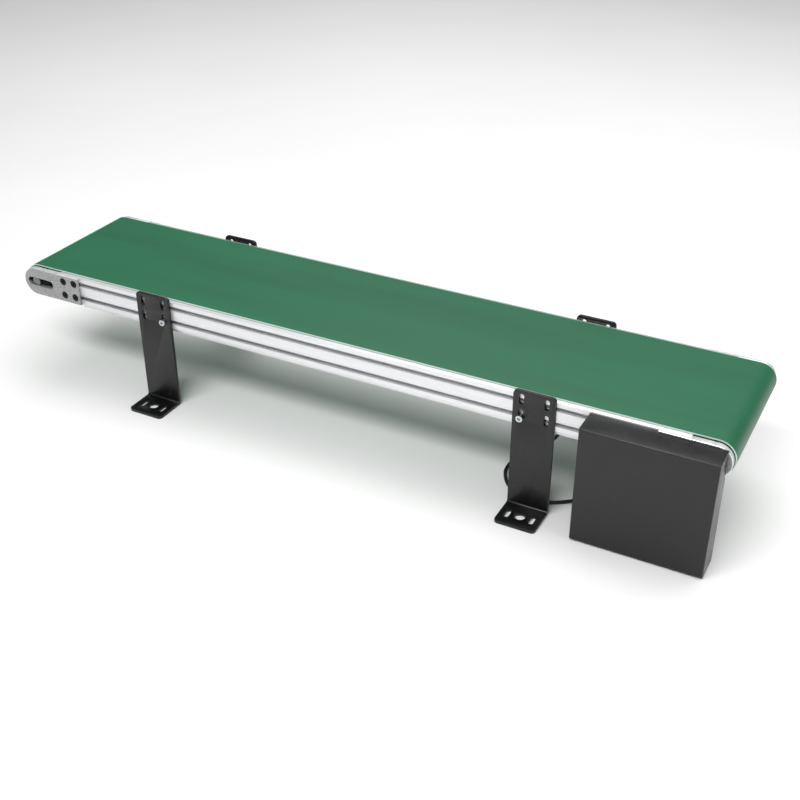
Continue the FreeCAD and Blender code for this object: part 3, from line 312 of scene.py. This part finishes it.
# the milled and chamfered outline: brighter than the faces, with fine cutter marks
milled_edge = finish("milled_aluminium_edge", "eceded", roughness=0.34, metallic=0.6)
work_surface(milled_edge, grain_mm=0.8, relief_mm=0.02, patch_mm=20.0, darker="d6d7d8",
             rough=(0.28, 0.40), stretch=(1.0, 0.08, 1.0), speckle=0.4)
outline_reach = 0.0285      # the outline lies beyond this distance from the roller axis
flat_face = 0.9             # a face whose normal is nearer to Y than this is a flat side
axis_z = sum(corner.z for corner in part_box("drive_shaft")) / 2.0
for end, axis_node in (("idler", "idler_axle"), ("drive", "drive_shaft")):
    axis_x = sum(corner.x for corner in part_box(axis_node)) / 2.0
    for side in ("cover_side", "open_side"):
        plate = ease_edges(end + "_plate_" + side, blasted, "frame", width_mm=0.25,
                           from_angle=60.0)
        plate.data.materials.append(milled_edge)
        for face in plate.data.polygons:
            beyond = abs(face.center.x) > abs(axis_x)
            rise = abs(face.center.z - axis_z)
            reach = math.hypot(face.center.x - axis_x, rise) if beyond else rise
            if reach > outline_reach and abs(face.normal.y) < flat_face:
                face.material_index = 1


# ---- End-plate screws and nut bars ----
# Four black countersunk socket screws hold each plate, through it and into flat steel bars that sit behind
# the lips of the rail's outer slots.
coat_nodes(black_oxide, "end_plate_screws")
# zinc-passivated steel: bright, slightly blue
bright_steel = finish("bright_zinc_passivated_steel", "c6c9cd", roughness=0.26, metallic=1.0)
work_surface(bright_steel, grain_mm=0.8, relief_mm=0.015, patch_mm=6.0, darker="aeb2b8", rough=(0.20, 0.36))
coat_nodes(bright_steel, "rail_nut_bars")


# ---- Driven roller ----
# A crowned steel tube on two turned hubs, pressed and pinned on a stepped shaft. The shaft turns in a ball
# bearing in each end plate and runs on past the plate on the cover side to carry its pulley.
# turned steel, bare and lightly oiled: fine feed marks round the part
turned_steel = finish("turned_steel", "a9abae", roughness=0.30, metallic=1.0)
work_surface(turned_steel, grain_mm=0.6, relief_mm=0.012, patch_mm=18.0, darker="8f9195",
             rough=(0.24, 0.38), stretch=(1.0, 0.5, 1.0), speckle=0.3)
coat_nodes(turned_steel, "drive_roller_tube", "drive_roller_hubs", "drive_shaft")
# ground and polished bearing steel
ground_steel = finish("ground_bearing_steel", "b4b6b8", roughness=0.20, metallic=1.0)
work_surface(ground_steel, grain_mm=0.5, relief_mm=0.006, patch_mm=8.0, darker="9fa1a4", rough=(0.15, 0.26))
coat_nodes(ground_steel, "drive_bearings")


# ---- Bearing shields ----
# A pressed steel shield closes the outer face of each ball bearing. It is a thin dished ring, snapped into
# the outer ring and clear of the inner one.
shield_sheet = 0.0004       # thickness of the sheet, and rise of its rib
shield_proud = 0.0006       # shield out from the bearing's end face
drive_shield = (0.0128, 0.0100)   # outer and inner radius
idler_shield = (0.0195, 0.0125)


def pressed_shield(name, x, y, z, outward, outer, inner, body):
    """A dished ring in the plane across Y: a flat rim, a raised rib and a rolled-in bore."""
    bpy.ops.object.select_all(action="DESELECT")
    bpy.ops.mesh.primitive_circle_add(vertices=64, radius=outer, fill_type="NOTHING", location=(x, y, z),
                                      rotation=(math.pi / 2.0, 0.0, 0.0))
    ring = bpy.context.object
    ring.name = name
    bpy.ops.object.transform_apply(location=True, rotation=True, scale=True)
    bpy.ops.object.mode_set(mode="EDIT")
    bpy.ops.mesh.select_all(action="SELECT")
    profile = ((outer * 0.95, 0.0), (outer * 0.90, shield_sheet), (inner * 1.16, shield_sheet),
               (inner * 1.06, 0.0), (inner, -shield_sheet))
    reach = outer
    for radius, lift in profile:
        bpy.ops.mesh.extrude_region_move()
        size = radius / reach
        bpy.ops.transform.resize(value=(size, 1.0, size), center_override=(x, y, z))
        reach = radius
        depth = y + outward * lift
        edit = bpy.context.edit_object.data
        bpy.ops.object.mode_set(mode="OBJECT")
        for vertex in edit.vertices:
            if vertex.select:
                vertex.co.y = depth
        bpy.ops.object.mode_set(mode="EDIT")
    bpy.ops.mesh.select_all(action="SELECT")
    bpy.ops.mesh.normals_make_consistent(inside=False)
    bpy.ops.object.mode_set(mode="OBJECT")
    wall = ring.modifiers.new("sheet", "SOLIDIFY")
    wall.thickness = shield_sheet
    wall.offset = 0.0
    bpy.ops.object.modifier_apply(modifier=wall.name)
    bpy.ops.object.shade_smooth_by_angle(angle=math.radians(40.0))
    ring.data.materials.append(ground_steel)
    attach(ring, body)


def shield_pair(prefix, bearings, x, radii, body):
    """One shield on the outer face of the bearing at each side."""
    low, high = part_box(bearings)
    for side, face, outward in (("cover_side", low.y, -1.0), ("open_side", high.y, 1.0)):
        pressed_shield(prefix + side, x, face + outward * shield_proud, axis_z, outward, *radii, body)


shaft_low, shaft_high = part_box("drive_shaft")
shield_pair("drive_bearing_shield_", "drive_bearings", (shaft_low.x + shaft_high.x) / 2.0, drive_shield,
            "frame")


# ---- Take-up roller ----
# A crowned steel tube that turns freely on two ball bearings. Its fixed axle has flats at both ends, which
# slide in the slots of the end plates when the belt is tightened.
coat_nodes(turned_steel, "idler_roller_tube", "idler_roller_hubs")
# cold-drawn bar left as it comes: duller and darker than the turned parts
drawn_bar = finish("cold_drawn_steel_bar", "85878a", roughness=0.36, metallic=1.0)
work_surface(drawn_bar, grain_mm=0.6, relief_mm=0.012, patch_mm=12.0, darker="64666a",
             rough=(0.28, 0.44), speckle=0.3)
ease_edges("idler_axle", drawn_bar, "take_up_axle", width_mm=0.5, from_angle=60.0)
coat_nodes(ground_steel, "idler_bearings")
axle_low, axle_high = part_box("idler_axle")
shield_pair("idler_bearing_shield_", "idler_bearings", (axle_low.x + axle_high.x) / 2.0, idler_shield,
            "idler_roller")


# ---- Take-up screws ----
# A black M6 socket screw sits in the nose of each slotted plate, passes through the axle and pulls it
# outwards. Its rolled thread, of 1 mm pitch, runs the whole length of the shank.
thread_pitch = 0.001
thread_core = 0.0030        # radius the ridge is laid on
thread_start = 0.0085       # from the head's end of the screw to the first turn
thread_unused = 0.0095      # length of the screw without thread, both ends together
ridge_profile = ((0.05, -0.15), (0.50, 0.42), (0.95, -0.15))    # along and out, in pitches
steps_round = 14


def rolled_thread(name, start, length, y, z, body):
    """A closed ridge round an X axis: a three-sided loop drawn out along the screw by a Screw modifier."""
    bpy.ops.object.select_all(action="DESELECT")
    bpy.ops.mesh.primitive_circle_add(vertices=3, radius=thread_pitch * 0.5, fill_type="NOTHING",
                                      location=(0.0, 0.0, 0.0))
    ridge = bpy.context.object
    ridge.name = name
    for vertex, (along, out) in zip(ridge.data.vertices, ridge_profile):
        vertex.co = (start + along * thread_pitch, 0.0, thread_core + out * thread_pitch)
    winder = ridge.modifiers.new("wind", "SCREW")
    winder.axis = "X"
    winder.screw_offset = thread_pitch
    winder.iterations = int(length / thread_pitch)
    winder.steps = steps_round
    winder.render_steps = steps_round
    winder.use_normal_calculate = True
    look_at_alone(ridge)
    bpy.ops.object.modifier_apply(modifier=winder.name)
    bpy.ops.object.mode_set(mode="EDIT")
    bpy.ops.mesh.select_all(action="SELECT")
    bpy.ops.transform.translate(value=(0.0, y, z))
    bpy.ops.mesh.select_all(action="DESELECT")
    bpy.ops.mesh.select_non_manifold()
    bpy.ops.mesh.fill()
    bpy.ops.mesh.select_all(action="SELECT")
    bpy.ops.mesh.normals_make_consistent(inside=False)
    bpy.ops.object.mode_set(mode="OBJECT")
    ridge.data.materials.append(black_oxide)
    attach(ridge, body)


coat_nodes(black_oxide, "take_up_screw_cover_side", "take_up_screw_open_side")
for side, body in (("cover_side", "take_up_screw_cover"), ("open_side", "take_up_screw_open")):
    low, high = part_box("take_up_screw_" + side)
    rolled_thread("take_up_thread_" + side, low.x + thread_start, high.x - low.x - thread_unused,
                  (low.y + high.y) / 2.0, axis_z, body)


# ---- Conveyor belt ----
# An endless belt of woven polyester faced with green PVC, 2.4 mm thick. Its cut edges show the pale fabric.
# It lies flat on the bed, wraps both rollers and sags a little underneath.
belt_low, belt_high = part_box("conveyor_belt")
belt = welded_copy("conveyor_belt", "belt_pvc_face")
stretch_start = belt_low.x + 0.060      # between these two the belt is cut across at even steps, near the take-up end
stretch_end = belt_low.x + 0.140
stretch_cuts = 8
for cut in range(stretch_cuts + 1):
    bpy.ops.mesh.select_all(action="SELECT")
    cut_x = stretch_start + (stretch_end - stretch_start) * cut / stretch_cuts
    bpy.ops.mesh.bisect(plane_co=(cut_x, 0.0, axis_z), plane_no=(1.0, 0.0, 0.0))
bpy.ops.object.mode_set(mode="OBJECT")
round_off(belt, 0.3 / mm_per_metre, 1, 60.0, 30.0)
# green PVC cover, satin, a little uneven in colour along the belt
belt_pvc = finish("pvc_belt_cover_green", "01603c", roughness=0.40)
# the matt face is pressed with a fine cloth print of about half a millimetre
work_surface(belt_pvc, grain_mm=0.55, relief_mm=0.03, patch_mm=120.0, darker="015437",
             rough=(0.38, 0.48), patch_stretch=(0.12, 1.0, 1.0))
tree = belt_pvc.node_tree
shader = tree.nodes["Principled BSDF"]
face_colour = shader.inputs["Base Color"].links[0].from_socket
place = add(tree, "ShaderNodeTexCoord", {}, {})
parts = add(tree, "ShaderNodeSeparateXYZ", {}, {"Vector": place.outputs["Object"]})
across = add(tree, "ShaderNodeMath", {"operation": "ABSOLUTE"}, {0: parts.outputs["Y"]})
# the cut edge is the pale fabric, which begins within the last half millimetre
fabric_starts = belt_high.y - 0.0006
fabric_full = belt_high.y - 0.0002
at_edge = add(tree, "ShaderNodeMapRange", {"From Min": fabric_starts, "From Max": fabric_full},
              {"Value": across.outputs[0]})
edged = add(tree, "ShaderNodeMix", {"data_type": "RGBA"}, {0: at_edge.outputs["Result"]})
edged.inputs[7].default_value = linear("bfd8cb")
tree.links.new(face_colour, edged.inputs[6])
tree.links.new(edged.outputs[2], shader.inputs["Base Color"])
belt.data.materials.clear()
belt.data.materials.append(belt_pvc)
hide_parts("conveyor_belt")
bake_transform(belt)


# ---- Leg brackets ----
# Four feet bent from 6 mm steel plate, punched with slots and powder coated black. Each hangs on one
# zinc-plated socket cap screw and a nut in the rail's slot, so it can be slid along and set.
# satin black polyester powder coat, with a fine orange peel
powder = finish("powder_coat_black_satin", "070708", roughness=0.32)
work_surface(powder, grain_mm=1.8, relief_mm=0.035, patch_mm=45.0, darker="050506", rough=(0.27, 0.37))
# electroplated zinc: bright and cool
zinc = finish("zinc_plated_steel", "d4d7da", roughness=0.24, metallic=1.0)
work_surface(zinc, grain_mm=0.7, relief_mm=0.015, patch_mm=4.0, darker="bcc1c7", rough=(0.18, 0.34))
for end in ("idler", "drive"):
    for side in ("cover_side", "open_side"):
        leg = end + "_" + side
        ease_edges("leg_bracket_" + leg, powder, "leg_" + leg, width_mm=0.6)
        ease_edges("leg_bolt_" + leg, zinc, "leg_" + leg, width_mm=0.5, from_angle=60.0)
        coat_nodes(bright_steel, "leg_nut_" + leg)


# ---- Motor mounting plate ----
# A 5 mm steel plate, powder coated black, bolted to the rail's slots. It carries the gear motor on the
# inside and the toothed drive on the outside, and its lower edge is bent inwards to stiffen it.
ease_edges("motor_mount_plate", powder, "frame", width_mm=0.5)
coat_nodes(black_oxide, "mount_plate_screws", "gearbox_screws", "cover_screws")


# ---- Gear motor ----
# A square die-cast gearbox with a round motor spigoted on behind it. The castings are enamelled gloss black,
# the rear bell is domed and carries a plain pressed disc.
# black enamel over a die casting, whose skin shows through it
cast_enamel = finish("enamelled_casting_black", "0f0f10", roughness=0.34, coat=0.25)
work_surface(cast_enamel, grain_mm=2.2, relief_mm=0.08, patch_mm=30.0, darker="0b0b0c", rough=(0.30, 0.42))
# gloss black enamel over rolled steel, smoother than on the castings
gloss_enamel = finish("gloss_enamel_black", "0c0c0d", roughness=0.22, coat=0.6)
work_surface(gloss_enamel, grain_mm=3.0, relief_mm=0.02, patch_mm=40.0, darker="09090a", rough=(0.16, 0.28))
for casting in ("gearbox_housing", "motor_front_shield"):
    ease_edges(casting, cast_enamel, "frame", width_mm=0.8, from_angle=50.0)
for shell in ("motor_body", "motor_end_bell"):
    ease_edges(shell, gloss_enamel, "frame", width_mm=0.5, from_angle=50.0)
# pressed disc in a matt light grey
pressed_disc = finish("pressed_disc_matt_grey", "c6c6c5", roughness=0.55, metallic=0.3)
work_surface(pressed_disc, grain_mm=0.8, relief_mm=0.02, patch_mm=20.0, darker="b6b6b5", rough=(0.48, 0.62))
ease_edges("motor_end_cap", pressed_disc, "frame", width_mm=0.3, from_angle=60.0)
# stacked sheet laminations under brown varnish
laminations = finish("varnished_laminations", "5a4a3c", roughness=0.45, metallic=0.6)
work_surface(laminations, grain_mm=0.6, relief_mm=0.05, patch_mm=12.0, darker="453829",
             rough=(0.38, 0.55), stretch=(0.1, 1.0, 0.1), speckle=0.6)
coat_nodes(laminations, "motor_stator", "motor_rotor")
coat_nodes(ground_steel, "gear_motor_bearings")
# black moulded nylon with a fine spark-eroded texture
gland_nylon = finish("moulded_nylon_black", "19191a", roughness=0.50)
work_surface(gland_nylon, grain_mm=0.8, relief_mm=0.03, patch_mm=8.0, darker="121213", rough=(0.42, 0.60))
ease_edges("lead_gland", gland_nylon, "frame", width_mm=0.3, from_angle=60.0)


# ---- Gear train ----
# Case-hardened steel gears run in oil inside the gearbox: a pinion on the rotor, a two-step cluster on the
# countershaft and the large gear on the output shaft.
# hardened gear steel under a film of oil
oiled_steel = finish("hardened_steel_oiled", "8c8e90", roughness=0.22, metallic=1.0)
work_surface(oiled_steel, grain_mm=0.6, relief_mm=0.015, patch_mm=10.0, darker="6f7174", rough=(0.15, 0.30))
coat_nodes(oiled_steel, "countershaft", "output_gear", "output_shaft", "rotor_shaft")


# ---- Toothed drive ----
# Two machined aluminium pulleys with side flanges, and a moulded rubber belt between them. They turn in the
# space between the mounting plate and the cover.
# machined aluminium with fine cutter marks
machined = finish("machined_aluminium", "cfd0d2", roughness=0.28, metallic=1.0)
work_surface(machined, grain_mm=0.5, relief_mm=0.015, patch_mm=10.0, darker="b7b9bc", rough=(0.22, 0.36))
coat_nodes(machined, "driver_pulley", "driven_pulley")
# moulded black rubber, matt
moulded_rubber = finish("moulded_rubber_black", "161617", roughness=0.58)
work_surface(moulded_rubber, grain_mm=0.7, relief_mm=0.04, patch_mm=10.0, darker="0f0f10",
             rough=(0.50, 0.68))
coat_nodes(moulded_rubber, "toothed_belt")


# ---- Drive cover ----
# A box folded from 1.5 mm steel sheet, open at the back and powder coated black, that closes the toothed
# drive. Small screws hold it to the edges of the mounting plate.
ease_edges("drive_cover", powder, "frame", width_mm=0.4)


# ---- Floor and lights ----
# A seamless pale floor under large soft boxes: one overhead, one in front and one off the driven end.
floor_size = 40.0
bpy.ops.object.select_all(action="DESELECT")
bpy.ops.mesh.primitive_plane_add(size=floor_size, location=(0.0, 0.0, 0.0))
floor = bpy.context.object
floor.name = "floor"
# matt white seamless paper
paper = finish("seamless_paper_white", "f4f4f3", roughness=0.9)
work_surface(paper, grain_mm=3.0, relief_mm=0.01, patch_mm=900.0, darker="f1f1f0", rough=(0.86, 0.94))
floor.data.materials.append(paper)


def soft_box(name, place, aim, size, watts):
    """A rectangular soft box at a place, turned to face a point."""
    data = bpy.data.lights.new(name, "AREA")
    data.shape = "RECTANGLE"
    data.size = size[0]
    data.size_y = size[1]
    data.energy = watts
    lamp = bpy.data.objects.new(name, data)
    lamp.location = place
    lamp.rotation_euler = (Vector(aim) - Vector(place)).to_track_quat("-Z", "Y").to_euler()
    bpy.context.scene.collection.objects.link(lamp)


soft_box("overhead_box", place=(0.3, 1.6, 3.4), aim=(0.1, 0.6, 0.0), size=(5.0, 3.0),
         watts=104.0)
soft_box("front_box", place=(0.1, -2.2, 2.9), aim=(0.3, -0.1, 0.2), size=(2.6, 0.8),
         watts=88.0)
soft_box("driven_end_box", place=(3.0, -0.2, 1.1), aim=(0.7, 0.0, 0.2), size=(1.6, 1.6),
         watts=18.0)
world = bpy.data.worlds.new("studio")
world.use_nodes = True
sky = world.node_tree.nodes["Background"]
sky.inputs["Color"].default_value = linear("f4f5f6")
sky.inputs["Strength"].default_value = 0.36
bpy.context.scene.world = world
bpy.context.scene.view_settings.view_transform = "Standard"
